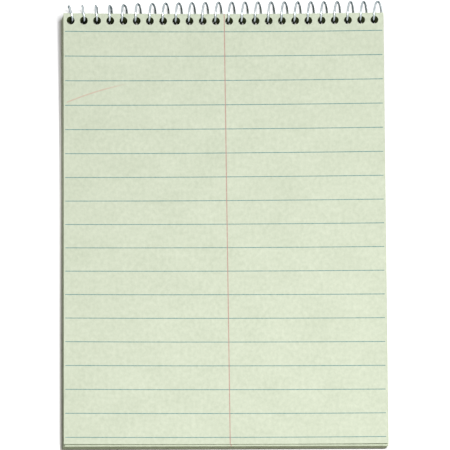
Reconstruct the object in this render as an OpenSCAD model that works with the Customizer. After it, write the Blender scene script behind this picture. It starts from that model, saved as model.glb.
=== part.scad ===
// Top-bound shorthand pad, opened at its first sheet.
// The sheets and the back board hang on one round wire spiral along the top edge, and the
// front cover is turned round the spiral and lies folded flat beneath the back board.
// X runs along the spiral, +Y from the foot of the pad to the spiral, +Z up.
// The origin is on the table, below the middle of the whole pad.

/* [Paper] */
// Width of the sheets, the board and the cover
page_w = 152.4; // [100:0.1:230]
// Length of the sheets, the board and the cover
page_l = 228.6; // [180:0.1:320]
// Number of sheets in the block
sheets = 60; // [20:1:90]
// Thickness of one sheet of writing paper
sheet_t = 0.073; // [0.05:0.001:0.1]

/* [Boards] */
// Thickness of the grey back board
board_t = 0.6; // [0.4:0.05:1.4]
// Thickness of the card front cover
cover_t = 0.25; // [0.15:0.01:0.6]

/* [Holes] */
// Diameter of the punched holes
hole_d = 4.1; // [3.6:0.05:4.6]
// Distance of the hole centres from the top edge
hole_in = 3.7; // [3:0.1:6]
// Distance from one hole to the next, which is also the pitch of the spiral
pitch = 6.2865; // [5.5:0.01:9]
// Least distance from the last hole's centre to the side edge
side_margin = 3; // [2.6:0.1:10]
// How far the row of holes is punched off the middle of the sheets
row_shift = -0.6; // [-0.9:0.1:0.9]

/* [Spiral] */
// Diameter of the wire
wire_d = 1.05; // [0.8:0.05:1.2]
// Distance of the spiral's axis beyond the top edge of the sheets
axis_out = 1.27; // [0.8:0.01:2]
// How far the wire moves along the row on its way over the top, the rest lies beneath
over_adv = 2.8; // [2:0.1:4]
// Further move of the last half turn, which takes the wire's end past the side of the cover
end_extra = 0.8; // [0:0.1:1.4]
// Where the wire lies in the holes of the top sheet, off their middle
wire_off = -0.4; // [-0.5:0.1:0.5]
// Angle by which the ends of each half turn are rolled up and over towards the top edge
coil_roll = 63; // [40:1:80]
// Angle round the spiral at which the first half turn starts below the cover
start_turn = 62; // [45:1:75]
// Radius of the bend that turns each wire end inward
crimp_r = 1; // [0.8:0.1:1.5]
// Angle of the bend that turns each wire end inward
crimp_turn = 45; // [30:1:60]
// How far that bend also leans towards the middle of the spiral
crimp_lean = 25; // [0:1:40]
// Straight length of wire after the bend
crimp_l = 0.8; // [0.4:0.1:1.2]
// Extra thickness of the wire where two bends of it run into each other
join_extra = 0.02; // [0.01:0.005:0.05]

/* [Lie] */
// Slope at which the block runs up to the spiral, since the spiral is thicker than the block
lift_turn = 3.9; // [3:0.1:6]
// Sideways step between the lowest face of the block and its top sheet
lean_w = 1.2; // [0.6:0.1:1.6]
// Further sideways step of the folded cover
cover_step_w = 0.8; // [0.3:0.05:1]

/* [Hidden] */

pages_t = sheets * sheet_t;
stack_t = cover_t + board_t + pages_t;

// The row of holes
hole_count = floor((page_w - 2 * (side_margin + abs(row_shift))) / pitch) + 1;
row_l = (hole_count - 1) * pitch;
// Extra length of the hole cutters at each face
over = 1;

// The wire's ring passes through the hole centres at both faces of the block
ring_r = norm([hole_in + axis_out, stack_t / 2]);
under_adv = pitch - over_adv;
end_adv = over_adv + end_extra;
// Radius of a half turn that also moves by adv along the row
function half_r(adv) = norm([adv / 2, ring_r]);
// Reach of the wire's centre line in a direction that lies at angle off the line of its joins
function reach(adv, off) = norm([ring_r * cos(off), half_r(adv) * sin(off)]);
coil_low = reach(under_adv, 90 - coil_roll) + wire_d / 2;
coil_front = reach(end_adv, coil_roll) + wire_d / 2;

// The bend that carries the block from the table up to the spiral
mid_h = stack_t / 2;
bend_r = (coil_low - mid_h * cos(lift_turn) - axis_out * sin(lift_turn)) / (1 - cos(lift_turn));
top_arc = (bend_r - stack_t) * lift_turn * PI / 180;
flat_l = page_l - top_arc;
bend_run = (bend_r - mid_h) * sin(lift_turn) + axis_out * cos(lift_turn);
total_l = flat_l + bend_run + coil_front;
foot_y = -total_l / 2;
bend_y = foot_y + flat_l;
axis_y = bend_y + bend_run;
// Smoothness of the bend in previews
bend_fn = 1440;

// Sideways place of the block at height h above the table face of the cover
top_x = (lean_w + cover_step_w) / 2;
function block_x(h) = top_x - lean_w * (stack_t - h) / stack_t;
cover_x = block_x(0) - cover_step_w;
lean_turn = atan(lean_w / stack_t);

// Angle round the spiral at which the wire goes through the top sheet
meet_turn = 180 - coil_roll + asin(mid_h / ring_r) - lift_turn;
wire_x = top_x + row_shift + wire_off - row_l / 2 + under_adv / 2 * (1 + cos(meet_turn));

// A flat leaf from height h0 to h1 with its middle at x0 below and x1 above, bent up at its end
module leaf(h0, h1, x0, x1) {
    translate([0, bend_y, 0])
        rotate([90, 0, 0])
            linear_extrude(flat_l)
                polygon([
                    [x0 - page_w / 2, h0], [x0 + page_w / 2, h0],
                    [x1 + page_w / 2, h1], [x1 - page_w / 2, h1]
                ]);
    translate([0, bend_y, bend_r])
        rotate([0, 90, 0])
            rotate_extrude(angle = lift_turn, $fn = bend_fn)
                polygon([
                    [bend_r - h0, x0 - page_w / 2], [bend_r - h1, x1 - page_w / 2],
                    [bend_r - h1, x1 + page_w / 2], [bend_r - h0, x0 + page_w / 2]
                ]);
}

// The row of hole cutters, square to the top end of the block; x is the middle of the leaf on
// the face that lies up from the middle of the block, and turn leans the cutters sideways
module hole_row(x, up, turn) {
    translate([0, axis_y, coil_low])
        rotate([lift_turn, 0, 0])
            for (i = [0 : hole_count - 1])
                translate([x + row_shift + i * pitch - row_l / 2, -axis_out - hole_in, up])
                    rotate([0, turn, 0])
                        cylinder(h = 2 * (stack_t + over), d = hole_d, center = true, $fn = 32);
}

// The block of writing paper, its sheets stepping sideways to follow the spiral
module pages() {
    color([0.84, 0.88, 0.78])
        difference() {
            leaf(cover_t + board_t, stack_t, block_x(cover_t + board_t), block_x(stack_t));
            hole_row(top_x, mid_h, lean_turn);
        }
}

// Stiff grey board behind the block
module back_board() {
    color([0.62, 0.61, 0.57])
        difference() {
            leaf(cover_t, cover_t + board_t, block_x(cover_t), block_x(cover_t + board_t));
            hole_row(top_x, mid_h, lean_turn);
        }
}

// Card cover, folded round under the board
module front_cover() {
    color([0.93, 0.92, 0.88])
        difference() {
            leaf(0, cover_t, cover_x, cover_x);
            hole_row(cover_x, 0, 0);
        }
}

// Round wire bent to radius r, from angle first to last
module wire_arc(r, first, last) {
    rotate([0, 0, first])
        rotate_extrude(angle = last - first, $fn = 96)
            translate([r, 0])
                circle(d = wire_d, $fn = 24);
}

// Where one bend of the wire runs into the next
module wire_join() {
    sphere(d = wire_d + join_extra, $fn = 32);
}

// A bent-in wire end: it leaves a ring of radius r backwards and turns to one side
module crimp(r) {
    translate([r, 0, 0]) {
        wire_join();
        rotate([0, crimp_lean, 0])
            translate([0, 0, -crimp_r])
                rotate([180, -90, 0]) {
                    wire_arc(crimp_r, 0, crimp_turn);
                    rotate([0, 0, crimp_turn])
                        translate([crimp_r, 0, 0]) {
                            wire_join();
                            rotate([-90, 0, 0])
                                cylinder(h = crimp_l, d = wire_d, $fn = 24);
                        }
                }
    }
}

// Half turn from a hole over the top to the outer side
module over_half(last) {
    adv = last ? end_adv : over_adv;
    r = half_r(adv);
    translate([adv / 2, 0, 0])
        rotate([90, 0, 180 + atan2(ring_r, adv / 2)]) {
            wire_arc(r, 0, 180);
            if (last)
                rotate([180, 0, 180])
                    crimp(r);
        }
    translate([0, -ring_r, 0])
        wire_join();
}

// Half turn from the outer side beneath the block to the next hole
module under_half(first) {
    r = half_r(under_adv);
    translate([-under_adv / 2, 0, 0])
        rotate([-90, 0, atan2(ring_r, -under_adv / 2)]) {
            wire_arc(r, first, 180);
            if (first > 0)
                rotate([0, 0, first])
                    crimp(r);
        }
    if (first == 0)
        translate([-under_adv, ring_r, 0])
            wire_join();
}

// The bare wire spiral, one length of wire
module spiral_wire() {
    color([0.78, 0.79, 0.8])
        translate([wire_x, axis_y, coil_low])
            rotate([-coil_roll, 0, 0])
                for (i = [0 : hole_count - 1])
                    translate([i * pitch, 0, 0]) {
                        under_half(i == 0 ? start_turn : 0);
                        over_half(i == hole_count - 1);
                    }
}

pages();
back_board();
front_cover();
spiral_wire();
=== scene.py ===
"""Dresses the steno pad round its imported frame: paper, boards, spiral, studio and camera."""

import logging
import math
from dataclasses import dataclass
from enum import Enum

import bpy
import numpy as np
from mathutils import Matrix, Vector


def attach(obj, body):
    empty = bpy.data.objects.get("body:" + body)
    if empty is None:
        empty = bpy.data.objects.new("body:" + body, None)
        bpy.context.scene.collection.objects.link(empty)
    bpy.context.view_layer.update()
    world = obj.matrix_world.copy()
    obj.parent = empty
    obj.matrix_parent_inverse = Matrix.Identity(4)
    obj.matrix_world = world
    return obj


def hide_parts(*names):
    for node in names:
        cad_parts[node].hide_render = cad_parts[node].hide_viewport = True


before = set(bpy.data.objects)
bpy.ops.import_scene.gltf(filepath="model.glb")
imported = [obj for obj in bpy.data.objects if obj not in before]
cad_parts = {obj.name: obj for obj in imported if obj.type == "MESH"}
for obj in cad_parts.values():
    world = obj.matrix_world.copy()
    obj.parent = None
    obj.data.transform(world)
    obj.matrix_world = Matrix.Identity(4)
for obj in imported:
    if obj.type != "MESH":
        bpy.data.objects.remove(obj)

MM = 0.001
SHARP_OVER = math.radians(35)
HOLE_BAND = 0.42
LOG = logging.getLogger("steno_pad")
Array = np.ndarray
Socket = bpy.types.NodeSocket


class Body(str, Enum):
    """The bodies that the new pieces ride on."""

    PAD = "pad"
    SPIRAL = "spiral"


class Slot(str, Enum):
    """The record's material slots of the new pieces."""

    PAPER = "paper"
    WIRE = "wire"


def rgb(red: int, green: int, blue: int) -> tuple[float, float, float, float]:
    """Turns a colour as seen on a screen into the linear values that shaders take.

    Args:
        red, green, blue: the colour, each from 0 to 255.

    Returns:
        Linear red, green, blue and an alpha of 1.
    """
    seen = np.array([red, green, blue]) / 255
    linear = np.where(seen <= 0.04045, seen / 12.92, ((seen + 0.055) / 1.055) ** 2.4)
    return (*linear.tolist(), 1.0)


@dataclass(frozen=True)
class PadSizes:
    """The pad's own sizes in metres and degrees, the same as those of its construction."""

    page_w: float = 152.4 * MM
    page_l: float = 228.6 * MM
    sheets: int = 60
    sheet_t: float = 0.073 * MM
    board_t: float = 0.6 * MM
    cover_t: float = 0.25 * MM
    hole_d: float = 4.1 * MM
    hole_in: float = 3.7 * MM
    pitch: float = 6.2865 * MM
    side_margin: float = 3.0 * MM
    row_shift: float = -0.6 * MM
    wire_d: float = 1.05 * MM
    axis_out: float = 1.27 * MM
    over_adv: float = 2.8 * MM
    end_extra: float = 0.8 * MM
    wire_off: float = -0.4 * MM
    coil_roll: float = 63.0
    start_turn: float = 62.0
    crimp_r: float = 1.0 * MM
    crimp_turn: float = 45.0
    crimp_lean: float = 25.0
    crimp_l: float = 0.8 * MM
    lift_turn: float = 3.9
    lean_w: float = 1.2 * MM
    cover_step_w: float = 0.8 * MM

    @property
    def pages_t(self) -> float:
        """Thickness of the block of paper."""
        return self.sheets * self.sheet_t

    @property
    def stack_t(self) -> float:
        """Thickness of cover, board and paper together."""
        return self.cover_t + self.board_t + self.pages_t

    @property
    def hole_count(self) -> int:
        """Number of holes in the row, and of turns in the spiral."""
        side = self.side_margin + abs(self.row_shift)
        return math.floor((self.page_w - 2 * side) / self.pitch) + 1

    @property
    def row_l(self) -> float:
        """Distance from the first hole's centre to the last one's."""
        return (self.hole_count - 1) * self.pitch

    @property
    def ring_r(self) -> float:
        """Radius of the wire's ring, through the hole centres at both faces of the block."""
        return math.hypot(self.hole_in + self.axis_out, self.stack_t / 2)

    @property
    def under_adv(self) -> float:
        """How far the wire moves along the row beneath the block."""
        return self.pitch - self.over_adv

    @property
    def end_adv(self) -> float:
        """How far the last half turn moves along the row."""
        return self.over_adv + self.end_extra

    def half_r(self, advance: float) -> float:
        """Radius of a half turn that also moves by advance along the row."""
        return math.hypot(advance / 2, self.ring_r)

    def reach(self, advance: float, off: float) -> float:
        """Reach of the wire's centre line at an angle of off degrees from its joins."""
        turn = math.radians(off)
        return math.hypot(self.ring_r * math.cos(turn), self.half_r(advance) * math.sin(turn))

    @property
    def coil_low(self) -> float:
        """Height of the spiral's axis above the table."""
        return self.reach(self.under_adv, 90 - self.coil_roll) + self.wire_d / 2

    @property
    def coil_front(self) -> float:
        """Reach of the spiral beyond its axis, away from the foot of the pad."""
        return self.reach(self.end_adv, self.coil_roll) + self.wire_d / 2

    @property
    def bend_r(self) -> float:
        """Radius of the gentle bend that lifts the block's end, at the table face."""
        turn = math.radians(self.lift_turn)
        rise = self.coil_low - self.stack_t / 2 * math.cos(turn) - self.axis_out * math.sin(turn)
        return rise / (1 - math.cos(turn))

    @property
    def flat_l(self) -> float:
        """Length of the block that lies flat on the table."""
        return self.page_l - (self.bend_r - self.stack_t) * math.radians(self.lift_turn)

    @property
    def bend_run(self) -> float:
        """Distance along Y from the start of the bend to the spiral's axis."""
        turn = math.radians(self.lift_turn)
        return (self.bend_r - self.stack_t / 2) * math.sin(turn) + self.axis_out * math.cos(turn)

    @property
    def foot_y(self) -> float:
        """Y of the foot edge; the whole pad is centred on the origin."""
        return -(self.flat_l + self.bend_run + self.coil_front) / 2

    @property
    def bend_y(self) -> float:
        """Y at which the bend starts."""
        return self.foot_y + self.flat_l

    @property
    def axis_y(self) -> float:
        """Y of the spiral's axis."""
        return self.bend_y + self.bend_run

    @property
    def top_x(self) -> float:
        """X of the middle of the top sheet."""
        return (self.lean_w + self.cover_step_w) / 2

    @property
    def wire_x(self) -> float:
        """X at which the first turn reaches its upper join."""
        meet = math.radians(
            180 - self.coil_roll
            + math.degrees(math.asin(self.stack_t / 2 / self.ring_r))
            - self.lift_turn
        )
        first = self.top_x + self.row_shift + self.wire_off - self.row_l / 2
        return first + self.under_adv / 2 * (1 + math.cos(meet))

    def block_x(self, height: Array) -> Array:
        """X of the block's middle at a height above the table face of the cover."""
        return self.top_x - self.lean_w * (self.stack_t - height) / self.stack_t

    def lie(self, across: Array, along: Array, height: Array) -> Array:
        """Lays leaf coordinates down as the pad lies on the table.

        A point stays flat up to flat_l from the foot. Beyond it, the point goes round an arc
        about an axis bend_r above the table, so that its radius is bend_r less its height.

        Args:
            across: x of each point.
            along: distance of each point from the foot, along the leaf.
            height: height of each point in the block, from the table face.

        Returns:
            An array of x, y and z, one row for each point.
        """
        turn = np.maximum(along - self.flat_l, 0) / (self.bend_r - self.stack_t)
        radius = self.bend_r - height
        y = np.where(turn > 0, self.bend_y + radius * np.sin(turn), self.foot_y + along)
        z = self.bend_r - radius * np.cos(turn)
        return np.stack([across, y, z], axis=-1)


def mesh_piece(
    name: str,
    points: Array,
    faces: list[Array],
    place: Array | None = None,
    finish: list[int] | None = None,
) -> bpy.types.Object:
    """Makes a mesh object at the origin from whole arrays, shaded sharp over SHARP_OVER.

    Args:
        name: the piece's name.
        points: x, y and z of every vertex.
        faces: arrays of vertex numbers, each with faces of one number of corners.
        place: two numbers for each vertex, kept as the piece's UV map in metres.
        finish: for each array of faces, the number of its material.

    Returns:
        The new object, linked to the scene.
    """
    mesh = bpy.data.meshes.new(name)
    corners = np.concatenate([f.ravel() for f in faces]).astype(np.int32)
    counts = np.concatenate([np.full(len(f), f.shape[1]) for f in faces])
    starts = np.concatenate([[0], np.cumsum(counts)[:-1]]).astype(np.int32)
    mesh.vertices.add(len(points))
    mesh.vertices.foreach_set("co", points.astype(np.float32).ravel())
    mesh.loops.add(len(corners))
    mesh.loops.foreach_set("vertex_index", corners)
    mesh.polygons.add(len(counts))
    mesh.polygons.foreach_set("loop_start", starts)
    if finish is not None:
        numbers = np.repeat(finish, [len(f) for f in faces]).astype(np.int32)
        mesh.polygons.foreach_set("material_index", numbers)
    mesh.update(calc_edges=True)
    if place is not None:
        layer = mesh.uv_layers.new(name="place")
        layer.data.foreach_set("uv", place[corners].astype(np.float32).ravel())
    mesh.shade_smooth()
    mesh.set_sharp_from_angle(angle=SHARP_OVER)
    mesh.validate()
    piece = bpy.data.objects.new(name, mesh)
    bpy.context.scene.collection.objects.link(piece)
    return piece


@dataclass(frozen=True)
class LeafPlan:
    """A punched leaf laid out flat.

    Attributes:
        across, along: x of each vertex from the leaf's middle, and its distance from the foot.
        faces: vertex numbers of the faces, counterclockwise, last those round the holes.
        rim: directed edges round the outline.
        holes: directed edges round each hole.
    """

    across: Array
    along: Array
    faces: list[Array]
    rim: Array
    holes: Array

    def shell(self, layers: int) -> list[Array]:
        """Faces of a pile of closed leaves, each with its upper vertices before its lower.

        The upper faces are the plan's own, the lower are the same turned over, and each edge
        of the rim and of the holes gives a wall face between them.

        Args:
            layers: number of leaves.

        Returns:
            Arrays of faces, as mesh_piece takes them; the last two are the walls of the
            outline and those of the holes.
        """
        count = len(self.across)
        walls = [
            np.stack([e[:, 1], e[:, 0], e[:, 0] + count, e[:, 1] + count], axis=1)
            for e in (self.rim, self.holes)
        ]
        one = [*self.faces, *(f[:, ::-1] + count for f in self.faces), *walls]
        step = np.arange(layers)[:, None, None] * 2 * count
        return [(f[None] + step).reshape(-1, f.shape[1]) for f in one]


def outer_edges(faces: list[Array]) -> Array:
    """Directed edges that only one face uses.

    Args:
        faces: arrays of faces.

    Returns:
        One row of two vertex numbers for each such edge.
    """
    edges = np.concatenate(
        [np.stack([f, np.roll(f, -1, axis=1)], axis=-1).reshape(-1, 2) for f in faces]
    )
    size = int(edges.max()) + 1
    key = edges[:, 0] * size + edges[:, 1]
    back = edges[:, 1] * size + edges[:, 0]
    return edges[~np.isin(key, back)]


def punched_plan(
    sizes: PadSizes, rows: int, splits: int, hole_w: float, aside: float = 0.0
) -> LeafPlan:
    """Lays out a leaf with its row of holes.

    Below the holes the leaf is a grid of one column for each hole and one for each side
    margin. In the band of the holes, each cell's outline is cut into splits parts a side, and
    each point of it is joined to the point of the hole's rim that a circle has in the same
    direction, stretched to the hole's two widths.

    Args:
        sizes: the pad's sizes.
        rows: number of rows of the grid below the holes.
        splits: number of parts of each side of a hole's cell.
        hole_w: width of a hole along the row; its other width is hole_d.
        aside: how far each hole's middle lies to the right of its cell's.

    Returns:
        The plan, with its vertices in metres.
    """
    band = HOLE_BAND * sizes.pitch
    low, high = sizes.page_l - sizes.hole_in - band, sizes.page_l - sizes.hole_in + band
    holes = sizes.hole_count
    centres = (np.arange(holes) - (holes - 1) / 2) * sizes.pitch + sizes.row_shift
    cells = (np.arange(holes + 1) - holes / 2) * sizes.pitch + sizes.row_shift
    columns = np.concatenate([[-sizes.page_w / 2], cells, [sizes.page_w / 2]])

    places: list[Array] = []

    def add(across: Array, along: Array) -> Array:
        """Adds a grid of vertices and returns their numbers in the same shape."""
        across, along = np.broadcast_arrays(across, along)
        start = sum(len(p) for p in places)
        places.append(np.stack([across.ravel(), along.ravel()], axis=1))
        return start + np.arange(across.size).reshape(across.shape)

    heights = low * np.linspace(0, 1, rows + 1)
    body = add(columns[None, :], heights[:, None])
    inner = np.linspace(0, 1, splits + 1)[1:]
    side = np.concatenate([body[-1:], add(columns[None, :], (low + (high - low) * inner)[:, None])])
    between = cells[None, :-1] + inner[:-1, None] * sizes.pitch
    floor = add(between, np.full((1, holes), low))
    ceiling = add(between, np.full((1, holes), high))
    edge = add(columns, np.full(len(columns), sizes.page_l))

    left, right = slice(1, -2), slice(2, -1)
    outline = np.concatenate(
        [side[:1, left], floor, side[:, right], ceiling[::-1], side[:0:-1, left]]
    )
    points = np.concatenate(places)
    spoke = points[outline] - np.stack([centres, np.full(holes, (low + high) / 2)], axis=-1)
    spoke /= np.linalg.norm(spoke, axis=-1, keepdims=True)
    spoke *= np.array([hole_w, sizes.hole_d]) / 2
    circle = add(centres + aside + spoke[..., 0], (low + high) / 2 + spoke[..., 1])

    def quads(grid: Array) -> Array:
        """Quads of a grid of vertex numbers whose rows go up and columns go right."""
        return np.stack(
            [grid[:-1, :-1], grid[:-1, 1:], grid[1:, 1:], grid[1:, :-1]], axis=-1
        ).reshape(-1, 4)

    around = np.roll(outline, -1, axis=0)
    inside = np.roll(circle, -1, axis=0)
    faces = [
        quads(body[:-1]),
        quads(body[-2:, :2]),
        quads(body[-2:, -2:]),
        np.concatenate([body[-2:-1, left], body[-2:-1, right], side[:1, right], floor[::-1],
                        side[:1, left]]).T,
        quads(side[:, :2]),
        quads(side[:, -2:]),
        np.concatenate([side[-1:, left], ceiling, side[-1:, right], edge[None, right],
                        edge[None, left]]).T,
        quads(np.stack([side[-1, :2], edge[:2]])),
        quads(np.stack([side[-1, -2:], edge[-2:]])),
        np.stack([outline, around, inside, circle], axis=-1).reshape(-1, 4),
    ]
    points = np.concatenate(places)
    rim = outer_edges(faces)
    punched = rim[:, 0] >= circle.min()
    return LeafPlan(points[:, 0], points[:, 1], faces, rim[~punched], rim[punched])


class Graph:
    """Adds nodes to a shader tree and joins them."""

    def __init__(self, tree: bpy.types.NodeTree) -> None:
        """Keeps the tree that the nodes go into."""
        self.tree = tree

    def node(self, kind: str, **sockets: object) -> bpy.types.Node:
        """Adds a node.

        Args:
            kind: the node's type, without the word ShaderNode.
            sockets: for each input, named with underscores for spaces, a value or a socket.

        Returns:
            The new node.
        """
        made = self.tree.nodes.new("ShaderNode" + kind)
        self.fill(made, sockets)
        return made

    def fill(self, made: bpy.types.Node, sockets: dict[str, object]) -> None:
        """Feeds a node's inputs, named with underscores for spaces."""
        for name, value in sockets.items():
            self.feed(made.inputs[name.replace("_", " ")], value)

    def feed(self, socket: Socket, value: object) -> None:
        """Links a socket to another, or sets its own value.

        Args:
            socket: the socket that is fed.
            value: another socket, or a value.
        """
        if isinstance(value, Socket):
            self.tree.links.new(value, socket)
        else:
            socket.default_value = value

    def math(self, operation: str, *values: object) -> Socket:
        """Adds a Math node.

        Args:
            operation: the node's operation.
            values: a number or a socket for each input.

        Returns:
            Its result.
        """
        made = self.node("Math")
        made.operation = operation
        for socket, value in zip(made.inputs, values):
            self.feed(socket, value)
        return made.outputs[0]

    def blend(self, factor: object, low: object, high: object) -> Socket:
        """Mixes two colours.

        Args:
            factor: share of the high colour.
            low, high: the colours.

        Returns:
            The mixed colour.
        """
        made = self.node("Mix")
        made.data_type = "RGBA"
        for socket, value in ((0, factor), (6, low), (7, high)):
            self.feed(made.inputs[socket], value)
        return made.outputs[2]

    def spread(
        self, value: object, low: float, high: float, to_low: float = 0.0, to_high: float = 1.0
    ) -> Socket:
        """Maps a value smoothly from one range to another.

        Args:
            value: the value.
            low, high: the range it comes from.
            to_low, to_high: the range it goes to.

        Returns:
            The mapped value.
        """
        made = self.node("MapRange")
        made.interpolation_type = "SMOOTHSTEP"
        for socket, given in zip(made.inputs, (value, low, high, to_low, to_high)):
            self.feed(socket, given)
        return made.outputs[0]

    def noise(
        self, vector: object, scale: object, detail: float = 2.0, rough: float = 0.5,
        bend: float = 0.0,
    ) -> Socket:
        """Adds a noise texture and returns its factor."""
        return self.node(
            "TexNoise", Vector=vector, Scale=scale, Detail=detail, Roughness=rough, Distortion=bend
        ).outputs["Fac"]

    def stretched(self, vector: object, **sockets: tuple) -> Socket:
        """Adds a Mapping node and returns its vector."""
        return self.node("Mapping", Vector=vector, **sockets).outputs[0]

    def close(self, shader: bpy.types.Node, height: object, strength: float, deep: float) -> None:
        """Puts a bump on a shader, and the shader on the material's output.

        Args:
            shader: the shader.
            height: height of the surface, from 0 to about 1.
            strength: strength of the bump.
            deep: depth in metres of a height of 1.
        """
        bump = self.node("Bump", Height=height, Strength=strength, Distance=deep)
        self.feed(shader.inputs["Normal"], bump.outputs[0])
        self.node("OutputMaterial", Surface=shader.outputs[0])

    def axes(self, vector: object) -> tuple[Socket, ...]:
        """Splits a vector and returns its x, y and z."""
        return tuple(self.node("SeparateXYZ", Vector=vector).outputs)

    def own(self, group: "SharedGroup", **sockets: object) -> bpy.types.Node:
        """Places a shared group with this material's own values.

        Args:
            group: the group.
            sockets: for each input, named with underscores for spaces, a value or a socket.

        Returns:
            The group's node.
        """
        made = self.node("Group")
        made.node_tree = group.tree
        self.fill(made, sockets)
        return made


def empty_material(name: str) -> tuple[bpy.types.Material, Graph]:
    """Makes a material without nodes.

    Args:
        name: the material's name.

    Returns:
        The material and its graph.
    """
    material = bpy.data.materials.new(name)
    material.use_nodes = True
    material.node_tree.nodes.clear()
    return material, Graph(material.node_tree)


class SharedGroup:
    """An effect that several materials place, with named inputs and outputs."""

    def __init__(self, name: str, inputs: dict[str, str], outputs: dict[str, str]) -> None:
        """Makes the empty group.

        Args:
            name: the group's name.
            inputs: for each input, its kind, such as Float or Vector.
            outputs: for each output, its kind.
        """
        self.tree = bpy.data.node_groups.new(name, "ShaderNodeTree")
        for way, sockets in (("INPUT", inputs), ("OUTPUT", outputs)):
            for socket, kind in sockets.items():
                self.tree.interface.new_socket(
                    name=socket, in_out=way, socket_type="NodeSocket" + kind
                )
        self.graph = Graph(self.tree)
        self.given = self.tree.nodes.new("NodeGroupInput").outputs
        self.result = self.tree.nodes.new("NodeGroupOutput").inputs


def fibre_group() -> SharedGroup:
    """Builds the look of pulp: soft clouds, short fibres and single flecks.

    Returns:
        A group that takes a vector in metres, the size of a fibre and the share of flecks,
        and gives a cloud tone around 0.5, a fleck mask and a height.
    """
    group = SharedGroup(
        "pulp",
        {"Vector": "Vector", "Fineness": "Float", "Flecks": "Float"},
        {"Cloud": "Float", "Fleck": "Float", "Height": "Float"},
    )
    graph, given = group.graph, group.given
    cloud_scale, fleck_scale, no_flecks, fleck_edge, fleck_height = 55.0, 0.45, 0.86, 0.05, 0.5
    lie = graph.stretched(given["Vector"], Scale=(1.0, 2.6, 1.0), Rotation=(0.0, 0.0, 0.5))
    fibre = graph.noise(lie, given["Fineness"], 4.0, bend=1.2)
    speck = graph.noise(lie, graph.math("MULTIPLY", given["Fineness"], fleck_scale), 1.0)
    threshold = graph.math("SUBTRACT", no_flecks, given["Flecks"])
    fleck = graph.spread(graph.math("SUBTRACT", speck, threshold), 0.0, fleck_edge)
    graph.feed(group.result["Cloud"], graph.noise(given["Vector"], cloud_scale, 3.0, 0.6))
    graph.feed(group.result["Fleck"], fleck)
    graph.feed(group.result["Height"], graph.math("MULTIPLY_ADD", fleck, fleck_height, fibre))
    return group


def line_group() -> SharedGroup:
    """Builds a printed line: a mask that is 1 where a distance is within half a width.

    Returns:
        A group that takes a distance, a half width and a soft edge in metres.
    """
    group = SharedGroup(
        "ink_line", {"Distance": "Float", "Half": "Float", "Soft": "Float"}, {"Mask": "Float"}
    )
    graph, given = group.graph, group.given
    off = graph.math("SUBTRACT", given["Half"], graph.math("ABSOLUTE", given["Distance"]))
    mask = graph.math("DIVIDE", off, given["Soft"])
    mask = graph.math("MINIMUM", graph.math("MAXIMUM", mask, 0.0), 1.0)
    graph.feed(group.result["Mask"], mask)
    return group


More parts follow.
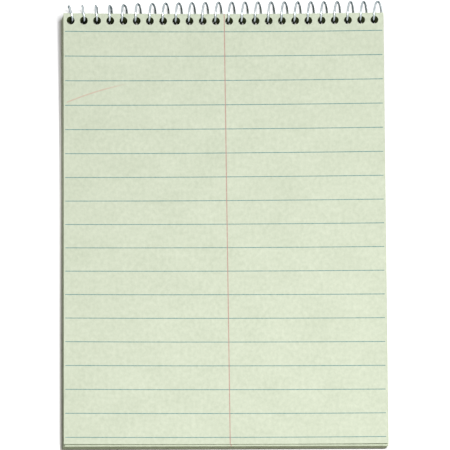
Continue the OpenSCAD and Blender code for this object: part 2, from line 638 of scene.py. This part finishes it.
@dataclass(frozen=True)
class PaperFinish:
    """Green-tinted writing paper with teal rules and a red line down its middle."""

    sizes: PadSizes
    pulp: SharedGroup
    ink: SharedGroup
    light: tuple = rgb(246, 253, 230)
    dark: tuple = rgb(198, 209, 182)
    fleck: tuple = rgb(196, 205, 178)
    rule_ink: tuple = rgb(74, 142, 146)
    middle_ink: tuple = rgb(205, 152, 142)
    scuff: tuple = rgb(224, 203, 182)
    first_rule: float = 9.3 * MM
    rule_step: float = 12.69 * MM
    rules: int = 18
    rule_half: float = 0.24 * MM
    rule_inset: float = 0.7 * MM
    middle_half: float = 0.26 * MM
    middle_head: float = 0.3 * MM
    middle_foot: float = 2.1 * MM
    soft: float = 0.1 * MM
    scuff_down: float = 46.5 * MM
    scuff_slope: float = -0.46
    scuff_bow: float = 4.0
    scuff_half: float = 0.4 * MM
    scuff_from: float = 1.5 * MM
    scuff_to: float = 33 * MM
    scuff_bump: float = 2.0
    fineness: float = 2600.0
    flecks: float = 0.1
    fleck_share: float = 0.35
    grain_scale: float = 560.0
    grain_stretch: tuple = (1.0, 0.75, 1.0)
    grain_share: float = 0.62
    wave_scale: float = 9.0
    wave: float = 0.12 * MM
    worn_scale: float = 900.0
    worn: tuple = (0.72, 0.98)

    def rules_mask(self, graph: Graph, across: object, down: object) -> Socket:
        """Masks the rules.

        A rule is drawn where the distance from the top edge, less the first rule's, is within
        half a line of a whole number of steps, for the number of rules that a page has.

        Args:
            graph: the material's graph.
            across, down: distance from the page's middle and from the top edge.

        Returns:
            The mask.
        """
        step = graph.math("DIVIDE", graph.math("SUBTRACT", down, self.first_rule), self.rule_step)
        number = graph.math("ROUND", step)
        off = graph.math("MULTIPLY", graph.math("SUBTRACT", step, number), self.rule_step)
        line = graph.own(self.ink, Distance=off, Half=self.rule_half, Soft=self.soft).outputs[0]
        counted = graph.math(
            "MULTIPLY",
            graph.math("GREATER_THAN", number, -0.5),
            graph.math("LESS_THAN", number, self.rules - 0.5),
        )
        reach = self.sizes.page_w / 2 - self.rule_inset
        inside = graph.math("LESS_THAN", graph.math("ABSOLUTE", across), reach)
        return graph.math("MULTIPLY", line, graph.math("MULTIPLY", counted, inside))

    def middle_mask(self, graph: Graph, across: object, down: object) -> Socket:
        """Masks the middle line, which runs askew from middle_head to middle_foot off centre.

        Args:
            graph: the material's graph.
            across, down: distance from the page's middle and from the top edge.

        Returns:
            The mask.
        """
        slant = (self.middle_foot - self.middle_head) / self.sizes.page_l
        aside = graph.math("MULTIPLY_ADD", down, slant, self.middle_head)
        off = graph.math("SUBTRACT", across, aside)
        return graph.own(self.ink, Distance=off, Half=self.middle_half, Soft=self.soft).outputs[0]

    def scuff_mask(self, graph: Graph, across: object, down: object) -> Socket:
        """Masks the scuff near the top left corner.

        Its distance from the top edge is scuff_down plus scuff_slope times the distance from
        the left edge plus scuff_bow times that distance squared, and it fades to the right.

        Args:
            graph: the material's graph.
            across, down: distance from the page's middle and from the top edge.

        Returns:
            The mask.
        """
        left = graph.math("ADD", across, self.sizes.page_w / 2)
        bend = graph.math("MULTIPLY_ADD", left, self.scuff_bow, self.scuff_slope)
        curve = graph.math("MULTIPLY_ADD", left, bend, self.scuff_down)
        off = graph.math("SUBTRACT", down, curve)
        line = graph.own(self.ink, Distance=off, Half=self.scuff_half, Soft=self.soft).outputs[0]
        fade = graph.spread(left, self.scuff_to * 0.55, self.scuff_to, 1.0, 0.0)
        start = graph.math("GREATER_THAN", left, self.scuff_from)
        return graph.math("MULTIPLY", line, graph.math("MULTIPLY", fade, start))

    def material(self, name: str, scuffed: bool) -> bpy.types.Material:
        """Builds the paper, whose print follows the sheet's own place map.

        Args:
            name: the material's name.
            scuffed: whether it has the scuff.

        Returns:
            The material.
        """
        material, graph = empty_material(name)
        place = graph.node("UVMap").outputs[0]
        across, along, _ = graph.axes(place)
        wave = graph.math("SUBTRACT", graph.noise(place, self.wave_scale, 1.0), 0.5)
        down = graph.math("SUBTRACT", self.sizes.page_l, along)
        down = graph.math("MULTIPLY_ADD", wave, self.wave, down)

        pulp = graph.own(self.pulp, Vector=place, Fineness=self.fineness, Flecks=self.flecks)
        lie = graph.stretched(place, Scale=self.grain_stretch)
        grain = graph.noise(lie, self.grain_scale, 2.0, 0.6)
        cloud = graph.math("MULTIPLY", pulp.outputs["Cloud"], 1 - self.grain_share)
        mottle = graph.math("MULTIPLY_ADD", grain, self.grain_share, cloud)
        fleck = graph.math("MULTIPLY", pulp.outputs["Fleck"], self.fleck_share)
        base = graph.blend(fleck, graph.blend(mottle, self.dark, self.light), self.fleck)

        strength = graph.spread(graph.noise(place, self.worn_scale), 0.25, 0.75, *self.worn)
        rule = graph.math("MULTIPLY", self.rules_mask(graph, across, down), strength)
        middle = graph.math("MULTIPLY", self.middle_mask(graph, across, down), strength)
        tone = graph.blend(rule, base, self.rule_ink)
        tone = graph.blend(middle, tone, self.middle_ink)
        height = pulp.outputs["Height"]
        if scuffed:
            mark = graph.math("MULTIPLY", self.scuff_mask(graph, across, down), strength)
            tone = graph.blend(mark, tone, self.scuff)
            height = graph.math("MULTIPLY_ADD", mark, self.scuff_bump, height)

        shader = graph.node(
            "BsdfPrincipled", Base_Color=tone, Roughness=0.86, Specular_IOR_Level=0.25,
            Sheen_Weight=0.05,
        )
        graph.close(shader, height, 0.25, 0.02 * MM)
        return material


@dataclass(frozen=True)
class PulpFinish:
    """Chipboard, plain card or cut paper: clouds of two tones with flecks of a third."""

    pulp: SharedGroup
    base: tuple
    cloudy: tuple
    fleck: tuple
    fineness: float
    flecks: float
    rough: float
    bump: float
    rough_play: float = 0.06
    gloss: float = 0.3
    deep: float = 0.05 * MM

    def material(self, name: str) -> bpy.types.Material:
        """Builds it from Object coordinates.

        Args:
            name: the material's name.

        Returns:
            The material.
        """
        material, graph = empty_material(name)
        place = graph.node("TexCoord").outputs["Object"]
        pulp = graph.own(self.pulp, Vector=place, Fineness=self.fineness, Flecks=self.flecks)
        tone = graph.blend(pulp.outputs["Cloud"], self.base, self.cloudy)
        tone = graph.blend(pulp.outputs["Fleck"], tone, self.fleck)
        height, rough = pulp.outputs["Height"], self.rough
        if self.rough_play:
            low, high = rough - self.rough_play, rough + self.rough_play
            rough = graph.spread(height, 0.3, 0.9, low, high)
        shader = graph.node(
            "BsdfPrincipled", Base_Color=tone, Roughness=rough, Specular_IOR_Level=self.gloss
        )
        graph.close(shader, height, self.bump, self.deep)
        return material


def cut_finish_painted_shade(pulp: SharedGroup, light: tuple, dark: tuple) -> PulpFinish:
    """The finish of paper where it is cut, rougher than its faces and of two tones."""
    # Both uses give tones darker than the paper's faces: painted shade of the cut edges and of the
    # punched holes.
    return PulpFinish(
        pulp, dark, light, dark, 3000.0, 0.16, 0.95, 0.4, rough_play=0.0, gloss=0.1, deep=0.03 * MM
    )


@dataclass(frozen=True)
class WireFinish:
    """Bright plated wire with faint drawing marks and a few dull spots."""

    bright: tuple = rgb(200, 208, 210)
    dull: tuple = rgb(176, 186, 189)
    edge: tuple = rgb(30, 52, 54)
    draw_stretch: tuple = (1.0, 60.0, 1.0)
    draw_scale: float = 260.0
    patch_scale: float = 420.0

    def material(self, name: str) -> bpy.types.Material:
        """Builds the wire; its marks follow the wire's own place map.

        Args:
            name: the material's name.

        Returns:
            The material.
        """
        material, graph = empty_material(name)
        place = graph.node("UVMap").outputs[0]
        drawn = graph.stretched(place, Scale=self.draw_stretch)
        marks = graph.noise(drawn, self.draw_scale, 3.0, 0.6)
        patches = graph.noise(graph.node("TexCoord").outputs["Object"], self.patch_scale)
        tone = graph.blend(graph.spread(patches, 0.35, 0.7), self.bright, self.dull)
        rough = graph.spread(marks, 0.3, 0.75, 0.2, 0.34)
        shader = graph.node(
            "BsdfPrincipled", Base_Color=tone, Roughness=rough, Metallic=1.0,
            Specular_Tint=self.edge,
        )
        graph.close(shader, marks, 0.12, 0.01 * MM)
        return material


@dataclass
class PaperBlock:
    """The sixty sheets, each its own leaf, lying as loosely as real ones do.

    Attributes:
        fan_from, fan_long, fan_aside: the first sheet that is fanned out at the foot, and by
            how much such sheets stand out along and aside; the top sheet isn't one of them.
        coarse, fine: rows and splits of the plans of the lower sheets and of the top one.
    """

    sizes: PadSizes
    finish: PaperFinish
    # cut: tones darker than the paper's faces, painted shade of the walls round each sheet's
    # outline.
    cut: PulpFinish
    # punched: dark tones, painted shade of the holes' walls and of the faces round them.
    punched: PulpFinish
    gap: float = 0.02 * MM
    sag: float = 0.8 * MM
    sag_place: float = 135 * MM
    sag_half: float = 80 * MM
    foot_lift: float = 0.75 * MM
    foot_press: float = 0.6 * MM
    twist: float = 0.6 * MM
    twist_place: float = 105 * MM
    twist_step: float = 240 * MM
    head_lift: float = 0.8 * MM
    lift_reach: float = 38 * MM
    side_curl: float = 0.48 * MM
    head_curl: float = 0.75 * MM
    head_tilt: float = -0.3 * MM
    curl_reach: float = 35 * MM
    top_only: int = 120
    top_group: int = 6
    top_short: float = 0.2 * MM
    fan_from: int = 51
    fan_long: float = 0.55 * MM
    fan_aside: float = 0.35 * MM
    low_aside: float = 0.25 * MM
    side_play: float = 0.05 * MM
    foot_play: float = 0.05 * MM
    top_hole_w: float = 3.75 * MM
    top_hole_aside: float = 0.1 * MM
    coarse: tuple = (32, 4)
    fine: tuple = (64, 8)
    seed: int = 7

    def rise(self, across: Array, along: Array, share: Array) -> Array:
        """How much higher a sheet lies than in a flat block.

        The sag is a squared cosine about sag_place, and it and the press at the foot grow with
        the sheet's share of the block, as does a twist, which is a sine along the sheet times
        the distance from its middle. The lifts and the press fall off from the edge as bell
        curves. The foot's lift and the curl of both sides are of the top sheet alone, through
        a high power of the share, and the head's lift and curl are of the upper sheets.

        Args:
            across: distance of each point from the sheet's middle.
            along: distance of each point from the foot.
            share: the sheet's place in the block, 1 for the top one.

        Returns:
            The rise of each point.
        """
        alone, upper = share**self.top_only, share**self.top_group
        side = 2 * across / self.sizes.page_w
        from_head = self.sizes.page_l - along
        bow = np.clip((along - self.sag_place) / self.sag_half, -1, 1) * math.pi / 2
        near_foot = np.exp(-((along / self.lift_reach) ** 2))
        head = self.head_lift * np.exp(-((from_head / self.lift_reach) ** 2))
        curl = self.head_curl * side**2 + self.head_tilt * side
        curl = curl * np.exp(-from_head / self.curl_reach)
        turns = (along - self.twist_place) / self.twist_step
        twist = self.twist * side * np.sin(2 * math.pi * turns)
        return (
            (self.foot_lift * near_foot + self.side_curl * side**2) * alone
            + (head + curl) * upper
            + (twist - self.sag * np.cos(bow) ** 2 - self.foot_press * near_foot) * share
        )

    def leaves(self, plan: LeafPlan, first: int, last: int) -> Array:
        """Vertices of the sheets numbered first to last - 1 from the board up.

        Each sheet turns a little about its end at the spiral, so that a point moves aside
        and along by its sheet's own amount times its share of the way to the foot.

        Args:
            plan: the sheet's plan.
            first, last: the range of sheets.

        Returns:
            Upper then lower vertices of each sheet, in rows of x, y and z.
        """
        sizes = self.sizes
        rng = np.random.default_rng(self.seed)
        every = np.arange(sizes.sheets)
        fanned = (every >= self.fan_from) & (every < sizes.sheets - 1)
        side = rng.normal(0, self.side_play, sizes.sheets)
        side += np.where(fanned, self.fan_aside, np.where(every < self.fan_from, self.low_aside, 0))
        foot = rng.uniform(-1, 0, sizes.sheets) * self.foot_play
        foot += np.where(fanned, self.fan_long, 0)
        foot[-1] = -self.top_short
        face = np.array([sizes.sheet_t - self.gap, 0.0])[None, :, None]
        base = sizes.cover_t + sizes.board_t
        number = every[first:last, None, None]
        height = base + number * sizes.sheet_t + face + 0 * plan.across
        across, along = plan.across + 0 * height, plan.along + 0 * height
        swing = 1 - along / sizes.page_l
        place = sizes.lie(
            across + sizes.block_x(height) + side[first:last, None, None] * swing,
            along - foot[first:last, None, None] * swing,
            height,
        )
        place[..., 2] += self.rise(across, along, (number + 1) / sizes.sheets)
        return place.reshape(-1, 3)

    def build(self) -> list[bpy.types.Object]:
        """Builds the sheets in a few pieces, the top sheet by itself.

        The faces round the holes, which show only in the holes of the sheets under the top
        one, and the walls of all the holes have the finish of the punched holes, whose dark
        tones are painted shade of the deep holes.

        Returns:
            The pieces.
        """
        sizes = self.sizes
        edges, holes = self.cut.material("cut_edges_painted_shade"), self.punched.material("punched_holes_painted_shade")
        plain = self.finish.material("ruled_paper", scuffed=False)
        top = self.finish.material("scuffed_paper", scuffed=True)
        coarse = punched_plan(sizes, *self.coarse, sizes.hole_d)
        fine = punched_plan(sizes, *self.fine, self.top_hole_w, self.top_hole_aside)
        cuts = (("top_sheet", fine, 59, 60, top), ("upper_sheets", coarse, 39, 59, plain),
                ("middle_sheets", coarse, 19, 39, plain), ("lower_sheets", coarse, 0, 19, plain))
        pieces = []
        for name, plan, first, last, material in cuts:
            shell = plan.shell(last - first)
            # Below the top sheet, the faces round the holes take the punched holes' painted shade.
            face = [0] * (len(plan.faces) - 1) + [0 if material is top else 2]
            place = np.tile(np.stack([plan.across, plan.along], axis=1), (2 * (last - first), 1))
            points = self.leaves(plan, first, last)
            # The outline's walls take the cut edges' finish and the holes' walls the punched holes'
            # finish, both painted shade.
            piece = mesh_piece(name, points, shell, place, [*face, *face, 1, 2])
            for part in (material, edges, holes):
                piece.data.materials.append(part)
            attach(piece, Body.PAD.value)
            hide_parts("pages")
            pieces.append(piece)
        return pieces


@dataclass
class Spiral:
    """The single wire spiral, swept along its own path."""

    sizes: PadSizes
    finish: WireFinish
    turn_steps: int = 72
    sides: int = 16
    lean_mm: tuple = (
        (1.3, -2.4, -3.2), (0.6, -1.95, -3.2), (0.25, -1.8, -2.9),
        (0.0, -1.4, -2.1), (-0.4, -0.9, -1.1), (-0.3, -0.6, -0.75),
    )
    press: tuple = (0.34, 0.3, 0.3, 0.29, 0.21, 0.11, 0.1, 0.06, 0.055, 0.03, 0.015)
    lean_at: tuple = (-95.0, -20.0, 85.0, 165.0)
    pressed: float = 100.0
    half_bow: float = 75.0
    smooth: float = 45.0
    play: float = 0.05 * MM
    end_round: float = 0.72
    seed: int = 11

    def aside(self, turn: Array) -> Array:
        """How far the wire is bent aside along the row.

        Each turn has three values, in the hole from the first angle of lean_at to the second,
        at the crest and behind the block. They are joined by straight runs over the angle and
        smoothed by a running mean of smooth degrees. Every turn also has small random values
        at the crest and behind.

        Args:
            turn: angle of each point in degrees, evenly spaced.

        Returns:
            The shift of each point.
        """
        count = self.sizes.hole_count
        shift = np.random.default_rng(self.seed).normal(0, self.play, (count, 3))
        shift[:, 0] = 0
        shift[: len(self.lean_mm)] += np.array(self.lean_mm) * MM
        at = np.arange(count)[:, None] * 360 + np.array(self.lean_at)
        straight = np.interp(turn, at.ravel(), shift[:, [0, 0, 1, 2]].ravel())
        width = max(int(self.smooth / (turn[1] - turn[0])), 1)
        padded = np.pad(straight, width // 2, mode="edge")
        return np.convolve(padded, np.ones(width) / width, mode="same")[
            width // 2 : width // 2 + len(turn)
        ]

    def path(self) -> Array:
        """Centre line of the wire, from its crimped start to its crimped end.

        Each turn is two half circles seen along the axis: one over the top that advances by
        over_adv, or by end_adv at the end, and one beneath that advances by under_adv. Along
        either, the advance follows one minus the cosine of the angle. The first turns lean,
        and are pressed in towards the axis by a squared cosine about the crest.

        Returns:
            Rows of x, y and z.
        """
        sizes = self.sizes
        first = math.radians(sizes.start_turn) - math.pi
        last = 2 * math.pi * (sizes.hole_count - 1) + math.pi
        steps = int((last - first) / (2 * math.pi) * self.turn_steps)
        turn = np.linspace(first, last, steps + 1)
        number = np.floor(turn / (2 * math.pi))
        phase = turn - number * 2 * math.pi
        over = phase <= math.pi
        across = np.where(number < sizes.hole_count - 1, sizes.over_adv, sizes.end_adv)
        advance = np.where(over, across, sizes.under_adv)
        base = np.where(over, 0.0, sizes.over_adv)
        bow = np.where(over, phase, phase - math.pi)
        x = number * sizes.pitch + base + advance / 2 * (1 - np.cos(bow))
        y = -sizes.ring_r * np.cos(phase)
        z = np.hypot(advance / 2, sizes.ring_r) * np.sin(phase)

        x += self.aside(np.degrees(turn))
        off = np.abs(np.degrees(turn) - number * 360 - self.pressed)
        bow = np.clip(off / self.half_bow, 0, 1)
        press = np.zeros(sizes.hole_count)
        press[: len(self.press)] = self.press
        which = np.clip(number, 0, sizes.hole_count - 1).astype(int)
        shrink = 1 - press[which] * np.cos(bow * math.pi / 2) ** 2
        y, z = y * shrink, z * shrink

        roll = -math.radians(sizes.coil_roll)
        turned_y = y * math.cos(roll) - z * math.sin(roll)
        turned_z = y * math.sin(roll) + z * math.cos(roll)
        path = np.stack([x, turned_y, turned_z], axis=1)
        path = np.concatenate([self.crimp(path[::-1], 1.0)[::-1], path, self.crimp(path, -1.0)])
        return path + np.array([sizes.wire_x, sizes.axis_y, sizes.coil_low])

    def crimp(self, path: Array, inward: float) -> Array:
        """The bent-in end that goes on from the last point of a path.

        It is an arc that turns from the wire's own direction towards the middle of the row,
        leaning towards the spiral's axis, and a short straight piece after it.

        Args:
            path: the wire up to its end, about the spiral's axis.
            inward: 1 or -1, the way along x to the middle of the row.

        Returns:
            The points of the bent end.
        """
        sizes = self.sizes
        end = path[-1]
        ahead = path[-1] - path[-2]
        ahead /= np.linalg.norm(ahead)
        lean = math.radians(sizes.crimp_lean)
        to_axis = np.array([0.0, *(-end[1:])])
        to_axis /= np.linalg.norm(to_axis)
        aside = math.cos(lean) * np.array([inward, 0.0, 0.0]) + math.sin(lean) * to_axis
        aside -= aside @ ahead * ahead
        aside /= np.linalg.norm(aside)
        turn = np.radians(np.linspace(0, sizes.crimp_turn, 11)[1:])[:, None]
        arc = end + sizes.crimp_r * (np.sin(turn) * ahead + (1 - np.cos(turn)) * aside)
        out = math.cos(turn[-1, 0]) * ahead + math.sin(turn[-1, 0]) * aside
        run = np.linspace(0, sizes.crimp_l, 5)[1:, None]
        return np.concatenate([arc, arc[-1] + run * out])

    def build(self) -> bpy.types.Object:
        """Sweeps a circle along the path.

        At each point of the path, the circle lies across the path's own direction, with its
        first axis away from the spiral's axis. The circle shrinks at both ends, where the
        cut wire is rounded over, and a disc closes it.

        Returns:
            The wire.
        """
        path = self.path()
        along = np.gradient(path, axis=0)
        along /= np.linalg.norm(along, axis=1, keepdims=True)
        away = path - np.array([0, self.sizes.axis_y, self.sizes.coil_low])
        away[:, 0] = 0
        away -= (away * along).sum(axis=1, keepdims=True) * along
        away /= np.linalg.norm(away, axis=1, keepdims=True)
        side = np.cross(along, away)
        length = np.concatenate([[0], np.cumsum(np.linalg.norm(np.diff(path, axis=0), axis=1))])
        radius = np.full(len(path), self.sizes.wire_d / 2)
        radius[[0, -1]] *= self.end_round
        turn = np.linspace(0, 2 * math.pi, self.sides, endpoint=False)
        ring = (
            path[:, None]
            + radius[:, None, None]
            * (np.cos(turn)[:, None] * away[:, None] + np.sin(turn)[:, None] * side[:, None])
        )
        count = len(path)
        number = np.arange(count * self.sides).reshape(count, self.sides)
        after = np.roll(number, -1, axis=1)
        tube = np.stack([number[:-1], after[:-1], after[1:], number[1:]], axis=-1).reshape(-1, 4)
        caps = [number[:1, ::-1], number[-1:]]
        place = np.stack(
            np.broadcast_arrays(turn[None, :] * self.sizes.wire_d / 2, length[:, None]), axis=-1
        ).reshape(-1, 2)
        piece = mesh_piece("wire_spiral", ring.reshape(-1, 3), [tube, *caps], place)
        piece.data.materials.append(self.finish.material("plated_wire"))
        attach(piece, Body.SPIRAL.value)
        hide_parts("spiral_wire")
        return piece


@dataclass
class Boards:
    """The chipboard back and the folded card cover, which keep their own meshes."""

    back: PulpFinish
    cover: PulpFinish

    def dress(self) -> None:
        """Gives both their finish."""
        for node, finish in (("back_board", self.back), ("front_cover", self.cover)):
            material = finish.material(node + "_finish")
            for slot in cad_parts[node].material_slots:
                slot.material = material
            LOG.info("%s: dressed", node)


@dataclass
class Studio:
    """A pale floor, soft light and the long lens that sees the pad as the photograph does."""

    azimuth: float = 0.276
    elevation: float = 62.03
    lens: float = 1500.0
    sensor: float = 36.0
    picture: float = 450.0
    scale: float = 2.111
    aim: tuple = (0.0, 0.0, 4.0 * MM)
    aim_x: float = 222.55
    aim_y: float = 224.12
    sky: float = 0.28
    lamp_place: tuple = (0.12, -0.15, 0.7)
    lamp_size: float = 0.22
    lamp_watts: float = 3.68
    floor_half: float = 3.0
    floor_down: float = 0.02 * MM
    floor_tone: tuple = (0.8, 0.8, 0.8, 1.0)
    white: tuple = (1.0, 1.0, 1.0, 1.0)
    # glow: painted light on the floor beyond glow_x and glow_y, which also lightens the pad's
    # shadow there.
    glow: float = 0.6
    glow_x: float = 72 * MM
    glow_y: float = 109 * MM
    glow_reach: float = 12 * MM

    def camera(self) -> None:
        """Puts the camera where a millimetre at the aim is scale pixels of the picture."""
        turn, tilt = math.radians(self.azimuth), math.radians(self.elevation)
        back = Vector(
            (-math.sin(turn) * math.cos(tilt), -math.cos(turn) * math.cos(tilt), math.sin(tilt))
        )
        right = Vector((math.cos(turn), -math.sin(turn), 0.0))
        up = back.cross(right)
        distance = self.lens * self.picture / self.sensor / self.scale * MM
        middle = Vector(self.aim)
        middle += right * ((self.picture / 2 - self.aim_x) / self.scale * MM)
        middle += up * ((self.aim_y - self.picture / 2) / self.scale * MM)
        data = bpy.data.cameras.new("camera")
        data.lens, data.sensor_width = self.lens, self.sensor
        data.clip_start, data.clip_end = distance * 0.5, distance * 2
        camera = bpy.data.objects.new("camera", data)
        bpy.context.scene.collection.objects.link(camera)
        camera.location = middle + back * distance
        camera.rotation_mode = "QUATERNION"
        camera.rotation_quaternion = back.to_track_quat("Z", "Y")
        bpy.context.scene.camera = camera

    def seen(self, graph: Graph) -> Socket:
        """Masks what is seen.

        Args:
            graph: the material's or the world's graph.

        Returns:
            A mask that is 1 for camera, glossy and transmission rays.
        """
        rays = graph.node("LightPath").outputs
        mask = graph.math("MAXIMUM", rays["Is Camera Ray"], rays["Is Glossy Ray"])
        return graph.math("MAXIMUM", mask, rays["Is Transmission Ray"])

    def world(self) -> None:
        """Makes the world white where it is seen, and a plain soft light otherwise."""
        world = bpy.data.worlds.new("studio")
        bpy.context.scene.world = world
        world.use_nodes = True
        graph = Graph(world.node_tree)
        graph.tree.nodes.clear()
        strength = graph.math("MULTIPLY_ADD", self.seen(graph), 1 - self.sky, self.sky)
        shade = graph.node("Background", Color=self.white, Strength=strength)
        graph.node("OutputWorld", Surface=shade.outputs[0])

    def floor(self) -> None:
        """Lays the floor, white round the pad by a painted glow, which lightens but keeps its
        shadow.
        """
        corners = np.array([[-1, -1, 0], [1, -1, 0], [1, 1, 0], [-1, 1, 0]]) * self.floor_half
        floor = mesh_piece("floor", corners - [0, 0, self.floor_down], [np.array([[0, 1, 2, 3]])])
        material, graph = empty_material("floor")
        across, along, _ = graph.axes(graph.node("TexCoord").outputs["Object"])
        beyond = graph.math(
            "MAXIMUM",
            graph.math("SUBTRACT", graph.math("ABSOLUTE", across), self.glow_x),
            graph.math("SUBTRACT", graph.math("ABSOLUTE", along), self.glow_y),
        )
        # Painted light: a glow for seen rays fades in beyond glow_x and glow_y over glow_reach,
        # lightening the pad's shadow there; under the pad there is none.
        glow = graph.spread(beyond, 0.0, self.glow_reach, 0.0, self.glow)
        plain = graph.node("BsdfDiffuse", Color=self.floor_tone)
        white = graph.node("BsdfDiffuse", Color=self.white)
        light = graph.node("Emission", Color=self.white, Strength=glow)
        both = graph.node("AddShader")
        graph.feed(both.inputs[0], white.outputs[0])
        graph.feed(both.inputs[1], light.outputs[0])
        pick = graph.node("MixShader", Fac=self.seen(graph))
        graph.feed(pick.inputs[1], plain.outputs[0])
        graph.feed(pick.inputs[2], both.outputs[0])
        graph.node("OutputMaterial", Surface=pick.outputs[0])
        floor.data.materials.append(material)

    def lamp(self) -> None:
        """Hangs the soft lamp that points at the pad."""
        data = bpy.data.lights.new("key", "AREA")
        data.shape = "RECTANGLE"
        data.size = data.size_y = self.lamp_size
        data.energy = self.lamp_watts
        lamp = bpy.data.objects.new("key", data)
        bpy.context.scene.collection.objects.link(lamp)
        lamp.location = self.lamp_place
        lamp.rotation_mode = "QUATERNION"
        lamp.rotation_quaternion = Vector(self.lamp_place).to_track_quat("Z", "Y")
        lamp.visible_camera = False

    def build(self) -> None:
        """Builds the camera, the light and the floor."""
        self.camera()
        self.world()
        self.floor()
        self.lamp()
        view = bpy.context.scene.view_settings
        view.view_transform = "Standard"


def main() -> None:
    """Builds the pad piece by piece and logs the number of faces of each new piece."""
    logging.basicConfig(level=logging.INFO, format="%(name)s: %(message)s")
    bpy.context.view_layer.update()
    sizes = PadSizes()
    pulp, ink = fibre_group(), line_group()
    paper = PaperBlock(
        sizes,
        finish=PaperFinish(sizes, pulp, ink),
        # The cut edges' tones are darker than the paper's: painted shade of the block's walls.
        cut=cut_finish_painted_shade(pulp, rgb(190, 196, 166), rgb(166, 172, 140)),
        # The punched holes' dark tones are painted shade of the deep holes.
        punched=cut_finish_painted_shade(pulp, rgb(92, 101, 64), rgb(66, 73, 44)),
    )
    spiral = Spiral(sizes, WireFinish())
    boards = Boards(
        back=PulpFinish(pulp, rgb(146, 143, 134), rgb(166, 163, 153), rgb(112, 108, 99),
                        1100.0, 0.26, 0.9, 0.5),
        cover=PulpFinish(pulp, rgb(228, 226, 219), rgb(235, 233, 227), rgb(210, 207, 198),
                         1500.0, 0.16, 0.62, 0.2),
    )
    Studio().build()
    for piece in paper.build():
        LOG.info("%s: %d faces", piece.name, len(piece.data.polygons))
    wire = spiral.build()
    LOG.info("%s: %d faces", wire.name, len(wire.data.polygons))
    boards.dress()


if __name__ == "__main__":
    main()
